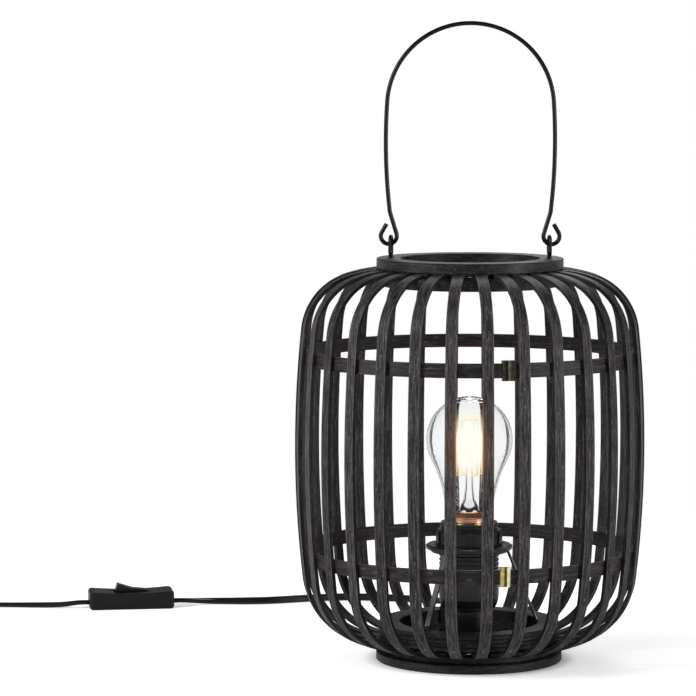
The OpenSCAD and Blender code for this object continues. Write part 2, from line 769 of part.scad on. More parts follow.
// ---- Bulb
// The bulb's outline from the neck's foot to the top, moved in by the given distance
function bulb_line(inset) = concat(
    [for (k = [0:8]) let (a = neck_end + (neck_start - neck_end) * k / 8, r = neck_curve_r + inset)
        [neck_r + neck_curve_r * cos(neck_end) - r * cos(a),
            neck_low_z - neck_curve_r * sin(neck_end) + r * sin(a)]],
    [for (k = [1:14]) let (a = -neck_start + (90 + neck_start) * k / 14, r = bulb_r - inset)
        [r * cos(a), bulb_c + r * sin(a)]]
);

module bulb_glass() {
    outside = bulb_line(0);
    inside = bulb_line(glass_t);
    count = len(inside);
    color([0.9, 0.95, 1, 0.35])
        rotate_extrude()
            polygon(concat(
                [[cap_r, cap_top_z]], outside, [for (k = [count - 1:-1:0]) inside[k]],
                [[cap_r - glass_t, cap_top_z + glass_t], [cap_r - glass_t, cap_top_z]]
            ));
}

module bulb_cap() {
    color("#c9a36a")
        rotate_extrude()
            polygon([
                [0, contact_z], [4.6, contact_z], [5.2, contact_z + 1.2], [9, contact_z + 3.4],
                [cap_r - 1, contact_z + 4.4], [cap_r, contact_z + 5.8], [cap_r, cap_top_z],
                [0, cap_top_z]
            ]);
}

module bulb_stem() {
    color([0.9, 0.95, 1, 0.5])
        rotate_extrude()
            polygon([
                [0, cap_top_z], [cap_r - glass_t - 0.6, cap_top_z], [8, cap_top_z + 3.5],
                [4.2, cap_top_z + 12], [3, cap_top_z + 20], [2.4, cap_top_z + stem_h], [0, cap_top_z + stem_h]
            ]);
}

// Four rods that lean in from a lower cross of wires to an upper one on the stem
module bulb_filaments() {
    low_z = cap_top_z + filament_rise;
    high_r = filament_spread / 2;
    lean = asin((filament_spread - high_r) / filament_len);
    high_z = low_z + filament_len * cos(lean);
    post_top_z = high_z + 1;
    color("#ffd890") {
        for (i = [0:3])
            rotate([0, 0, 30 + 90 * i]) {
                translate([filament_spread, 0, low_z])
                    rotate([0, -lean, 0])
                        cylinder(d = filament_d, h = filament_len, $fn = 16);
                translate([3, 0, low_z])
                    rotate([0, 90, 0])
                        cylinder(d = 0.8, h = filament_spread - 3, $fn = 16);
                translate([0, 0, high_z])
                    rotate([0, 90, 0])
                        cylinder(d = 0.8, h = high_r, $fn = 16);
            }
        translate([0, 0, cap_top_z + stem_h])
            cylinder(d = 1.2, h = post_top_z - cap_top_z - stem_h, $fn = 16);
    }
}

// ---- Cord, switch and plug
module cord_tube(line, sides) {
    n = len(line);
    m = len(sides);
    polyhedron(
        points = [for (i = [0:n - 1]) each ring(line, i, sides)],
        faces = concat(
            [[for (k = [0:m - 1]) k]],
            [for (i = [0:n - 2], k = [0:m - 1]) let (a = i * m + k, b = i * m + (k + 1) % m) [a, a + m, b]],
            [for (i = [0:n - 2], k = [0:m - 1]) let (a = i * m + k, b = i * m + (k + 1) % m) [b, a + m, b + m]],
            [[for (k = [m - 1:-1:0]) (n - 1) * m + k]]
        ),
        convexity = 10
    );
}

module cord_lamp_side() {
    color("#141414")
        cord_tube(smooth(lamp_route, 2), cord_sides);
}

module cord_plug_side() {
    color("#141414")
        cord_tube(smooth(plug_route, 2), cord_sides);
}

module cord_coil() {
    rings = [for (i = [0:len(coil_line) - 1]) ring(coil_line, i, coil_sides)];
    gap = min([for (i = [0:len(rings) - 10], j = [i + 9:len(rings) - 1])
        if (norm(xyz(coil_line[i]) - xyz(coil_line[j])) < 9)
            min([for (p = rings[i], q = rings[j]) norm(p - q)])]);
    echo(coil_least_gap = gap);
    echo(coil_length = run_of(coil_line));
    echo(cord_length = run_of(smooth(lamp_route, 2)) + switch_len + run_of(smooth(plug_route, 2)) + run_of(coil_line));
    color("#141414")
        cord_tube(coil_line, coil_sides);
}

module in_switch() {
    translate([switch_at[0], switch_at[1], 0])
        rotate([0, 0, switch_yaw])
            children();
}

module switch_plan() {
    c = switch_corner;
    for (x = [-1, 1], y = [-1, 1])
        translate([x * (switch_len / 2 - c), y * (switch_w / 2 - c)])
            circle(r = c, $fn = 48);
    square([switch_len, switch_w - 2 * c], center = true);
    square([switch_len - 2 * c, switch_w], center = true);
}

// The switch as seen from the side, with rounded ends
module switch_side() {
    c = switch_round;
    for (x = [-1, 1], z = [c, switch_h - c])
        translate([x * (switch_len / 2 - c), z])
            circle(r = c, $fn = 48);
    translate([-switch_len / 2, c])
        square([switch_len, switch_h - 2 * c]);
    translate([c - switch_len / 2, 0])
        square([switch_len - 2 * c, switch_h]);
}

module switch_shape(low, high) {
    intersection() {
        translate([0, 0, low])
            linear_extrude(high - low)
                switch_plan();
        rotate([90, 0, 0])
            linear_extrude(switch_w + 2, center = true)
                switch_side();
    }
}

rocker_z = switch_h - switch_dip - 1.6;
pocket_half = rocker_half * cos(rocker_tilt) + rocker_rise * sin(rocker_tilt) + 0.5;
pocket_half_w = rocker_half_w + 0.3;
pocket_low = rocker_z - (rocker_half - 2.2) * sin(rocker_tilt) - 3.4;

module switch_base() {
    color("#1a1a1b")
        in_switch()
            switch_shape(0, switch_base_h);
}

// The cover's top is hollowed along its length, with a pocket for the rocker
module switch_cover() {
    dip_half = switch_len / 2 - switch_round - 1.5;
    dip_r = (dip_half * dip_half + switch_dip * switch_dip) / (2 * switch_dip);
    color("#1d1d1f")
        in_switch()
            difference() {
                switch_shape(switch_base_h, switch_h);
                translate([0, 0, switch_h - switch_dip + dip_r])
                    rotate([90, 0, 0])
                        cylinder(r = dip_r, h = switch_w + 2, center = true, $fn = 720);
                translate([-pocket_half, -pocket_half_w, pocket_low])
                    cube([2 * pocket_half, 2 * pocket_half_w, switch_h]);
                translate([0, 0, rocker_z])
                    rotate([90, 0, 0])
                        cylinder(d = pivot_d + 0.1, h = 2 * pocket_half_w + 3.4, center = true, $fn = 24);
            }
}

module switch_rocker() {
    h = rocker_half;
    rise = rocker_rise;
    color("#222224")
        in_switch()
            translate([0, 0, rocker_z])
                rotate([0, rocker_tilt, 0])
                    union() {
                        rotate([90, 0, 0])
                            linear_extrude(2 * rocker_half_w, center = true)
                                polygon([
                                    [-h, rise], [0, rise - h * tan(rocker_vee)], [h, rise],
                                    [h + 0.4, 1], [h - 2.2, -3], [-h + 2.2, -3], [-h - 0.4, 1]
                                ]);
                        rotate([90, 0, 0])
                            cylinder(d = pivot_d, h = 2 * pocket_half_w + 2.6, center = true, $fn = 24);
                    }
}

// A flat two-pin plug that lies on the table with its pins towards the front
module plug_body() {
    w = plug_w / 2;
    slim = plug_t / 2;
    color("#171717")
        intersection() {
            translate([plug_at[0], plug_at[1], 0])
                linear_extrude(plug_t)
                    polygon([
                        [-4.2, 0], [-6.4, -plug_len * 0.25], [-9.6, -plug_len * 0.45], [-w + 2.6, -plug_len * 0.65],
                        [-w, -plug_len * 0.82], [-w, -plug_len + 1], [-w + 1, -plug_len], [w - 1, -plug_len],
                        [w, -plug_len + 1], [w, -plug_len * 0.82], [w - 2.6, -plug_len * 0.65],
                        [9.6, -plug_len * 0.45], [6.4, -plug_len * 0.25], [4.2, 0]
                    ]);
            translate([plug_at[0] - w - 1, plug_at[1], slim])
                rotate([90, 0, 90])
                    linear_extrude(plug_w + 2)
                        polygon([
                            [0, -3.4], [0, 3.4], [-plug_len * 0.25, 4], [-plug_len * 0.5, slim - 0.6],
                            [-plug_len * 0.7, slim], [-plug_len, slim], [-plug_len, -slim],
                            [-plug_len * 0.7, -slim], [-plug_len * 0.5, 0.6 - slim], [-plug_len * 0.25, -4]
                        ]);
        }
}

module plug_pins() {
    color("silver")
        for (side = [-1, 1])
            translate([plug_at[0] + side * pin_gap / 2, plug_at[1] - plug_len, plug_t / 2])
                rotate([90, 0, 0])
                    union() {
                        cylinder(d = pin_d, h = pin_len - 1.4, $fn = 32);
                        translate([0, 0, pin_len - 1.4])
                            cylinder(d1 = pin_d, d2 = pin_d - 1.8, h = 1.4, $fn = 32);
                    }
}

for (i = [1:slat_count])
    slat(i);
rim_ring();
collar_ring();
upper_hoop();
lower_hoop();
upper_hoop_clip();
lower_hoop_clip();
base_ring();
spacer_ring();
foot_ring();
eye_screws();
bail();
stand();
holder_body();
holder_dome();
cord_grip();
shade_ring();
screw_shell();
centre_contact();
bulb_glass();
bulb_cap();
bulb_stem();
bulb_filaments();
cord_lamp_side();
switch_base();
switch_cover();
switch_rocker();
cord_plug_side();
cord_coil();
plug_body();
plug_pins();
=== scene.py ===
import json
import math

import bpy
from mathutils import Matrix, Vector


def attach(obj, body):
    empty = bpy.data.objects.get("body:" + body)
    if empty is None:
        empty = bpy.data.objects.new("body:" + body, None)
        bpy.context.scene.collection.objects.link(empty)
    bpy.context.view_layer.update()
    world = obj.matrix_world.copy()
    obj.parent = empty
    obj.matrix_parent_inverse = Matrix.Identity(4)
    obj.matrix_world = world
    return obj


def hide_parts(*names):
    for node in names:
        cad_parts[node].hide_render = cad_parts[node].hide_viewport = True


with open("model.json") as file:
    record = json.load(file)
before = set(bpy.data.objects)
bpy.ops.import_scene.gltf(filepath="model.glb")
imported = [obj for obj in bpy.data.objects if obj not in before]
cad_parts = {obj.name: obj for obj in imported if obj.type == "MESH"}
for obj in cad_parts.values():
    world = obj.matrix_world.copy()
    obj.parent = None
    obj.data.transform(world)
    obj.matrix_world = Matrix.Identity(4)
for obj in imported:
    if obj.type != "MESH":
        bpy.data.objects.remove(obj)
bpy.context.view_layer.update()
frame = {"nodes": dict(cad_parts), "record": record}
nodes = frame["nodes"]
print("frame loaded:", len(nodes), "nodes")

# The camera, in metres and degrees
cameraLook = {"place": (0.0, -2.41, 0.436), "pitch": -5.2, "turn": 2.0, "lens": 181.03, "near": 0.05, "far": 60}

camera = bpy.data.objects.new("camera", bpy.data.cameras.new("camera"))
bpy.context.collection.objects.link(camera)
camera.location = cameraLook["place"]
camera.rotation_euler = (math.radians(90 + cameraLook["pitch"]), 0, math.radians(cameraLook["turn"]))
camera.data.lens = cameraLook["lens"]
camera.data.sensor_width = 36
camera.data.clip_start, camera.data.clip_end = cameraLook["near"], cameraLook["far"]
scene = bpy.context.scene
scene.camera = camera
print("camera ready")


# Meshes made here rather than in CAD
def meshPiece(name, points, faces, body="lamp", smooth=True):
    mesh = bpy.data.meshes.new(name)
    mesh.from_pydata([tuple(p) for p in points], [], faces)
    mesh.update()
    if smooth:
        mesh.shade_smooth()
    piece = bpy.data.objects.new(name, mesh)
    bpy.context.collection.objects.link(piece)
    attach(piece, body)
    return piece


# The faces between rows of points that go round a section
def rowFaces(base, rows, count, turned=False):
    faces = []
    for row in range(rows - 1):
        for k in range(count):
            a, b = base + row * count + k, base + row * count + (k + 1) % count
            faces.append((a, a + count, b + count, b) if turned else (a, b, b + count, a + count))
    return faces


# A smooth curve through all points of a route
def smoothLine(route, steps):
    line = []
    last = len(route) - 1
    for i in range(last):
        a, b, c, d = (Vector(route[k]) for k in (max(i - 1, 0), i, i + 1, min(i + 2, last)))
        for k in range(steps):
            t = k / steps
            line.append(0.5 * (2 * b + (c - a) * t + (2 * a - 5 * b + 4 * c - d) * t * t
                               + (3 * b - a - 3 * c + d) * t ** 3))
    line.append(Vector(route[last]))
    return line


# The twin cord's section: two round cores side by side with a groove between them. Metres, and
# the degrees that each core's face goes round.
cordShape = {"wide": 0.0056, "thick": 0.0034, "sides": 11, "span": 250}


def twinSection():
    core = cordShape["thick"] / 2
    offset = cordShape["wide"] / 2 - core
    sides, span = cordShape["sides"], cordShape["span"]
    section = []
    for side in (1, -1):
        for k in range(sides):
            angle = math.radians(-span / 2 + span * k / (sides - 1))
            section.append((side * (offset + core * math.cos(angle)), side * core * math.sin(angle)))
    return section


# A route's points are x, y, z and the roll of the flat cord about its run
def cordPiece(name, route, steps):
    line = smoothLine([p[:3] for p in route], steps)
    rolls = [p[3] for p in smoothLine(route, steps)]
    section = twinSection()
    points = []
    count, last = len(section), len(line) - 1
    for i, here in enumerate(line):
        along = (line[min(i + 1, last)] - line[max(i - 1, 0)]).normalized()
        side = along.cross(Vector((0, 0.05, 1))).normalized()
        over = side.cross(along)
        roll = math.radians(rolls[i])
        for u, v in section:
            points.append(here + (u * math.cos(roll) - v * math.sin(roll)) * side
                          + (u * math.sin(roll) + v * math.cos(roll)) * over)
    faces = rowFaces(0, len(line), count, turned=True)
    faces.append(tuple(range(count)))
    faces.append(tuple(last * count + k for k in reversed(range(count))))
    piece = meshPiece(name, points, faces)
    length = sum((line[i + 1] - line[i]).length for i in range(last))
    return piece, line, length


# The cords run on the same routes as the CAD solids, in millimetres and degrees. The coil winds in
# on the table, climbs a layer and winds out again to the plug.
switchShape = {"at": (-256, 208), "yaw": 10, "long": 64, "cordHeight": 4.2}
coilShape = {"at": (-410, 163), "inner": 25, "pitch": 6.4, "layer": 4.2, "turnsIn": 2.5, "turnsOut": 2.75,
             "height": 1.8, "steps": 48}
plugShape = {"end": 130, "cordHeight": 6.85}
straightRun = 5.6


def scaled(points):
    return [(x / 1000, y / 1000, z / 1000, roll) for x, y, z, roll in points]


def switchEnd(side, out):
    reach = side * (switchShape["long"] / 2 + out)
    yaw = math.radians(switchShape["yaw"])
    x, y = switchShape["at"]
    return (x + reach * math.cos(yaw), y + reach * math.sin(yaw), switchShape["cordHeight"], 0)


lampRoute = scaled([
    (0, 0, 36, 0), (0, 0, 30, 0), (0, 1.6, 21.7, 0), (0, 6.3, 14.7, 0), (0, 13.3, 10, 0),
    (0, 21.6, 8.4, 0), (0, 40, 8.4, 0), (0, 58, 8.4, 0), (0, 72, 8.1, 0), (1, 88, 6.2, 0),
    (3, 106, 3.6, 0), (6, 126, 2.1, 0), (10, 148, 1.8, 0), (14, 170, 1.8, 0), (16, 190, 1.8, 0),
    (13, 208, 1.8, 0), (4, 221, 1.8, 0), (-10, 227, 2.1, 12), (-28, 232, 2.5, 35), (-50, 237, 2.9, 60),
    (-72, 241, 3, 80), (-96, 242, 3, 90), (-118, 237, 3, 90), (-137, 229.5, 3, 88), (-152, 224, 3, 74),
    (-166, 222, 2.9, 62), (-181, 222, 2.7, 48), (-198, 222, 2.7, 30),
    switchEnd(1, 8), switchEnd(1, 0),
])

coilX, coilY = coilShape["at"]
coilLow, coilHigh = coilShape["height"], coilShape["height"] + coilShape["layer"]
coilOuter = coilShape["inner"] + coilShape["pitch"] * coilShape["turnsIn"]
plugX = coilX - coilShape["inner"] - coilShape["pitch"] * coilShape["turnsOut"]
plugRoute = [
    switchEnd(-1, 0), switchEnd(-1, 8),
    (-309, 201, 2.6, 12), (-328, 202, 2.1, 10), (-350, 203, 1.9, 0), (-376, 204, 1.8, 0),
    (coilX + 2 * straightRun, coilY + coilOuter, coilLow, 0), (coilX + straightRun, coilY + coilOuter, coilLow, 0),
]
for i in range(int(coilShape["steps"] * (coilShape["turnsIn"] + coilShape["turnsOut"])) + 1):
    turn = i / coilShape["steps"]
    angle = math.radians(90 + 360 * turn)
    radius = coilShape["inner"] + coilShape["pitch"] * abs(turn - coilShape["turnsIn"])
    climb = min(1, max(0, (turn - coilShape["turnsIn"] + 0.25) / 0.5))
    height = coilLow + coilShape["layer"] * climb * climb * (3 - 2 * climb)
    plugRoute.append((coilX + radius * math.cos(angle), coilY + radius * math.sin(angle), height, 0))
plugRoute += [
    (plugX, coilY - straightRun, coilHigh, 0), (plugX, 146, 5.6, 0),
    (plugX, plugShape["end"] + straightRun, plugShape["cordHeight"], 0),
    (plugX, plugShape["end"], plugShape["cordHeight"], 0),
]
lampCord, lampLine, lampLength = cordPiece("lamp_cord", lampRoute, 6)
plugCord, plugLine, plugLength = cordPiece("plug_cord", scaled(plugRoute), 3)
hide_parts("cord_lamp_side")
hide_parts("cord_plug_side", "cord_coil")
print("cords laid:", round(lampLength, 3), round(plugLength, 3))


# Shader helpers, where a value may be a number or another node's output
def setInput(tree, socket, value):
    if isinstance(value, bpy.types.NodeSocket):
        tree.links.new(value, socket)
    else:
        socket.default_value = value


def addNode(tree, kind, inputs=None, **settings):
    made = tree.nodes.new(kind)
    for key, value in settings.items():
        setattr(made, key, value)
    for key, value in (inputs or {}).items():
        setInput(tree, made.inputs[key], value)
    return made


def addMath(tree, operation, a, b=0.0, clamp=False):
    return addNode(tree, "ShaderNodeMath", {0: a, 1: b}, operation=operation, use_clamp=clamp).outputs[0]


def addVector(tree, operation, *values, output="Vector"):
    made = addNode(tree, "ShaderNodeVectorMath", dict(enumerate(values)), operation=operation)
    return made.outputs[output]


def addRange(tree, value, fromLow=0.0, fromHigh=1.0, toLow=0.0, toHigh=1.0, **settings):
    inputs = {0: value, 1: fromLow, 2: fromHigh, 3: toLow, 4: toHigh}
    return addNode(tree, "ShaderNodeMapRange", inputs, **settings).outputs[0]


def addNoise(tree, vector, scale, detail, roughness=0.5):
    inputs = {"Vector": vector, "Scale": scale, "Detail": detail, "Roughness": roughness}
    return addNode(tree, "ShaderNodeTexNoise", inputs).outputs[0]


def addBump(tree, height, strength, distance):
    return addNode(tree, "ShaderNodeBump", {"Height": height, "Strength": strength, "Distance": distance}).outputs[0]


def addMix(tree, factor, a, b):
    made = addNode(tree, "ShaderNodeMix", {0: factor}, data_type="RGBA", blend_type="MIX")
    for index, value in ((6, a), (7, b)):
        setInput(tree, made.inputs[index], value if isinstance(value, bpy.types.NodeSocket) else (*value, 1))
    return made.outputs[2]


# A value moved away from its middle by a share of a noise
def addSpread(tree, value, noise, middle, share, clamp=False):
    swing = addMath(tree, "MULTIPLY", addMath(tree, "SUBTRACT", noise, middle), share)
    return addMath(tree, "ADD", value, swing, clamp=clamp)


def objectPlace(tree, **settings):
    return addNode(tree, "ShaderNodeTexCoord", **settings).outputs["Object"]


# A place's parts, its distance from the lamp's axis and its angle round it
def roundParts(tree):
    parts = addNode(tree, "ShaderNodeSeparateXYZ", {0: objectPlace(tree)}).outputs
    squares = [addMath(tree, "MULTIPLY", parts[i], parts[i]) for i in (0, 1)]
    radius = addMath(tree, "SQRT", addMath(tree, "ADD", *squares))
    return parts, radius, addMath(tree, "ARCTAN2", parts[1], parts[0])


def newGroup(name, inputs, outputs):
    group = bpy.data.node_groups.new(name, "ShaderNodeTree")
    for label, kind, value in inputs:
        socket = group.interface.new_socket(label, in_out="INPUT", socket_type="NodeSocket" + kind)
        if value is not None:
            socket.default_value = value
    for label, kind in outputs:
        group.interface.new_socket(label, in_out="OUTPUT", socket_type="NodeSocket" + kind)
    return group, group.nodes.new("NodeGroupInput").outputs, group.nodes.new("NodeGroupOutput").inputs


def linkOutputs(group, outs, values):
    for label, value in values.items():
        group.links.new(value, outs[label])
    return group


def callGroup(tree, group, inputs):
    return addNode(tree, "ShaderNodeGroup", inputs, node_tree=group).outputs


# The slats as CAD bends them, in metres and degrees: the outline's main arcs from the bottom up,
# each with its centre as radius and height, and the height where it takes over. "worn" and
# "sides" are distances across a slat, and "shift" moves each slat along its grain.
slatShape = {
    "count": 30, "first": -84, "thick": 0.0026, "middle": 0.1475, "widest": 0.1206,
    "worn": (0.0029, 0.0036), "sides": (0.00370, 0.00379), "shift": 0.73,
    "arcs": [
        {"centre": (0.0650081, 0.0631103), "radius": 0.051, "low": -1.0},
        {"centre": (-0.6756515, 0.1474978), "radius": 0.7964515, "low": 0.0573},
        {"centre": (0.0726780, 0.2261504), "radius": 0.044, "low": 0.2307},
    ],
}


# Coordinates that run with a slat wherever it bends: across it, into its thickness and along it.
# Edge and Side mark its worn edges and its sides, where the sides get painted shade.
def makeSlatCoordinates():
    group, _, outs = newGroup(
        "slatCoordinates", [], [("Vector", "Vector"), ("Random", "Float"), ("Edge", "Float"), ("Side", "Float")])
    parts, radius, angle = roundParts(group)
    pitch = math.tau / slatShape["count"]
    index = addMath(group, "ROUND", addMath(group, "DIVIDE", angle, pitch))
    offset = addMath(group, "SUBTRACT", angle, addMath(group, "MULTIPLY", index, pitch))
    across = addMath(group, "MULTIPLY", radius, addMath(group, "SINE", offset))
    flat = addNode(group, "ShaderNodeCombineXYZ", {0: radius, 1: parts[2]}).outputs[0]
    depth = 0.0
    for arc in slatShape["arcs"]:
        gap = addVector(group, "DISTANCE", flat, (*arc["centre"], 0), output="Value")
        here = addMath(group, "SUBTRACT", arc["radius"], gap)
        above = addMath(group, "GREATER_THAN", parts[2], arc["low"])
        depth = addNode(group, "ShaderNodeMix", {0: above, 2: depth, 3: here}).outputs[0]
    depth = addNode(group, "ShaderNodeClamp", {0: depth, 1: 0.0, 2: slatShape["thick"]}).outputs[0]
    turnBack = addMath(group, "SIGN", addMath(group, "SUBTRACT", slatShape["middle"], parts[2]))
    inwards = addMath(group, "MULTIPLY", turnBack, addMath(group, "SUBTRACT", radius, slatShape["widest"]))
    along = addMath(group, "ADD", parts[2], inwards)
    along = addMath(group, "ADD", along, addMath(group, "MULTIPLY", index, slatShape["shift"]))
    aside = addMath(group, "ABSOLUTE", across)
    rise = addRange(group, aside, *slatShape["worn"])
    side = addRange(group, aside, *slatShape["sides"])
    return linkOutputs(group, outs, {
        "Vector": addNode(group, "ShaderNodeCombineXYZ", {0: across, 1: depth, 2: along}).outputs[0],
        "Random": addNode(group, "ShaderNodeTexWhiteNoise", {"W": index}, noise_dimensions="1D").outputs["Value"],
        "Edge": addMath(group, "MULTIPLY", rise, addMath(group, "SUBTRACT", 1.0, side)),
        "Side": side,
    })


# Coordinates that run round a ring, with its angle as a length at this radius: round, outwards, up
ringRadius = 0.08


def makeRingCoordinates():
    group, _, outs = newGroup("ringCoordinates", [], [("Vector", "Vector")])
    parts, radius, angle = roundParts(group)
    length = addMath(group, "MULTIPLY", angle, ringRadius)
    vector = addNode(group, "ShaderNodeCombineXYZ", {0: length, 1: radius, 2: parts[2]}).outputs[0]
    return linkOutputs(group, outs, {"Vector": vector})


# Stained fibres: pale worn streaks and edges, dark pores and pits, painted shade on the slats' sides, small pale
# flecks and a bump.
# A range of noise is followed by the amounts it turns into where these aren't 0 and 1.
fibreWear = {
    "streaks": (0.44, 0.66), "broken": (0.36, 0.66, 0.1, 1.0), "pores": (0.20, 0.03),
    "shade": (0.0, 1.0, -0.08, 0.10), "flecks": (0.63, 0.75, 0.0, 0.6), "pits": (0.42, 0.31, 0.0, 0.9),
    "edge": 0.4, "pore": 0.85, "side": 0.62, "poreAndShadeTone": (0.003, 0.0025, 0.0025),
    "shorten": 0.7, "finer": 300, "spread": 0.35, "bump": 0.0004,
}


def makeFibres():
    group, ins, outs = newGroup(
        "stainedFibres",
        [("Vector", "Vector", None), ("Stretch", "Vector", (1, 1, 1)), ("Tone", "Color", (0, 0, 0, 1)),
         ("Pale", "Color", (1, 1, 1, 1)), ("Worn", "Color", (1, 1, 1, 1)), ("Rough", "Float", 0.5),
         ("Depth", "Float", 0.3), ("Random", "Float", 0.5), ("Edge", "Float", 0.0), ("Side", "Float", 0.0)],
        [("Colour", "Color"), ("Roughness", "Float"), ("Normal", "Vector")])
    vector = addVector(group, "MULTIPLY", ins["Vector"], ins["Stretch"])
    streaks = addNoise(group, vector, 1.0, 5, 0.62)
    fine = addNoise(group, vector, 3.1, 3, 0.7)
    pores = addNode(group, "ShaderNodeTexVoronoi", {"Vector": vector, "Scale": 2.3}, feature="F1").outputs["Distance"]
    # Flecks and pits are much shorter along the grain than the streaks
    short = addVector(group, "MULTIPLY_ADD", ins["Stretch"], (fibreWear["shorten"],) * 3, (fibreWear["finer"],) * 3)
    flecks = addNoise(group, addVector(group, "MULTIPLY", ins["Vector"], short), 1.0, 2)
    worn = addRange(group, streaks, *fibreWear["streaks"])
    broken = addRange(group, fine, *fibreWear["broken"])
    speck = addRange(group, pores, *fibreWear["pores"])
    shade = addRange(group, ins["Random"], *fibreWear["shade"])
    amount = addMath(group, "ADD", addMath(group, "MULTIPLY", worn, broken), shade, clamp=True)
    edge = addMath(group, "MULTIPLY", addMath(group, "MULTIPLY", ins["Edge"], broken), fibreWear["edge"])
    fleck = addRange(group, flecks, *fibreWear["flecks"])
    pit = addRange(group, flecks, *fibreWear["pits"])
    dark = addMath(group, "MAXIMUM", addMath(group, "MULTIPLY", speck, fibreWear["pore"]), pit)
    # Painted shade: the slats' sides are darkened towards the same dark tone as the pores
    dark = addMath(group, "MAXIMUM", dark, addMath(group, "MULTIPLY", ins["Side"], fibreWear["side"]))
    colour = addMix(group, amount, ins["Tone"], ins["Pale"])
    colour = addMix(group, addMath(group, "MAXIMUM", edge, fleck), colour, ins["Worn"])
    colour = addMix(group, dark, colour, fibreWear["poreAndShadeTone"])
    height = addMath(group, "ADD", streaks, addMath(group, "MULTIPLY", fine, 0.5))
    return linkOutputs(group, outs, {
        "Colour": colour,
        "Roughness": addSpread(group, ins["Rough"], fine, 0.5, fibreWear["spread"], clamp=True),
        "Normal": addBump(group, addMath(group, "SUBTRACT", height, speck), ins["Depth"], fibreWear["bump"]),
    })


# A moulded or lacquered face: soft orange peel, uneven gloss and a little dust on what faces up
faceWear = {
    "cloud": 38.0, "grit": 2600.0, "dust": (0.5, 0.75), "facing": (-0.2, 1.0, 0.3, 1.0),
    "dustTone": (0.55, 0.54, 0.52), "spread": 0.3, "bump": 0.0003,
}


def makeFinish():
    group, ins, outs = newGroup(
        "surfaceFinish",
        [("Scale", "Float", 400.0), ("Peel", "Float", 0.1), ("Rough", "Float", 0.3),
         ("Tone", "Color", (0, 0, 0, 1)), ("Dust", "Float", 0.03)],
        [("Colour", "Color"), ("Roughness", "Float"), ("Normal", "Vector")])
    place = objectPlace(group)
    peel = addNoise(group, place, ins["Scale"], 3)
    cloud = addNoise(group, place, faceWear["cloud"], 6, 0.65)
    grit = addNoise(group, place, faceWear["grit"], 1)
    normal = addNode(group, "ShaderNodeNewGeometry").outputs["Normal"]
    up = addNode(group, "ShaderNodeSeparateXYZ", {0: normal}).outputs[2]
    facing = addRange(group, up, *faceWear["facing"])
    dust = addMath(group, "MULTIPLY", addRange(group, grit, *faceWear["dust"]), facing)
    dust = addMath(group, "MULTIPLY", dust, ins["Dust"])
    return linkOutputs(group, outs, {
        "Colour": addMix(group, dust, ins["Tone"], faceWear["dustTone"]),
        "Roughness": addSpread(group, ins["Rough"], cloud, 0.45, faceWear["spread"], clamp=True),
        "Normal": addBump(group, peel, ins["Peel"], faceWear["bump"]),
    })


# The glare of the lit filaments, and the orange veil that it lays on what stands before it: painted light, an emission
# on those pieces that only the camera sees
glowLook = {
    "place": (0.0, 0.0, 0.149), "shape": (0.62, 0.62, 1.0), "core": (1.0, 0.995, 0.93), "rim": (1.0, 0.90, 0.62),
    "reach": 0.0145, "fade": (0.18, 0.75), "most": 0.94,
    "veil": (1.0, 0.42, 0.10), "veilReach": 0.0115, "veilStrength": 0.85, "veilFace": 0.22,
}


# How near the line of sight through a point passes to the filaments. It is measured from the
# filaments, so that the glare moves with the bulb.
def makeGlare():
    group, ins, outs = newGroup("bulbGlare", [("Reach", "Float", 0.02)], [("Mask", "Float")])
    place = objectPlace(group, object=nodes["bulb_filaments"])
    away = addVector(group, "SUBTRACT", glowLook["place"], place)
    sight = addNode(group, "ShaderNodeNewGeometry").outputs["Incoming"]
    shaped = addVector(group, "MULTIPLY", addVector(group, "CROSS_PRODUCT", away, sight), glowLook["shape"])
    share = addMath(group, "DIVIDE", addVector(group, "LENGTH", shaped, output="Value"), ins["Reach"])
    fall = addMath(group, "MULTIPLY", addMath(group, "MULTIPLY", share, share), -1.0)
    return linkOutputs(group, outs, {"Mask": addMath(group, "EXPONENT", fall)})


slatCoordinates, ringCoordinates = makeSlatCoordinates(), makeRingCoordinates()
fibres, finish, glare = makeFibres(), makeFinish(), makeGlare()


def newMaterial(name):
    material = bpy.data.materials.new(name)
    material.use_nodes = True
    tree = material.node_tree
    return material, tree, tree.nodes["Principled BSDF"].inputs


def setSurface(tree, shader, made, values):
    for label, value in {"Base Color": made["Colour"], "Roughness": made["Roughness"],
                         "Normal": made["Normal"], **values}.items():
        setInput(tree, shader[label], value)


# The veil is painted orange light, an emission seen only by the camera, strongest on a slat's edges and sides
def addPaintedVeil(tree, shader, place):
    mask = callGroup(tree, glare, {"Reach": glowLook["veilReach"]})["Mask"]
    edges = glowLook["veilFace"]
    if "Edge" in place:
        edges = addMath(tree, "ADD", edges, addMath(tree, "MAXIMUM", place["Edge"], place["Side"]))
    veil = addMath(tree, "MULTIPLY", addMath(tree, "MULTIPLY", mask, glowLook["veilStrength"]), edges)
    ray = addNode(tree, "ShaderNodeLightPath").outputs["Is Camera Ray"]
    shader["Emission Color"].default_value = (*glowLook["veil"], 1)
    tree.links.new(addMath(tree, "MULTIPLY", veil, ray), shader["Emission Strength"])


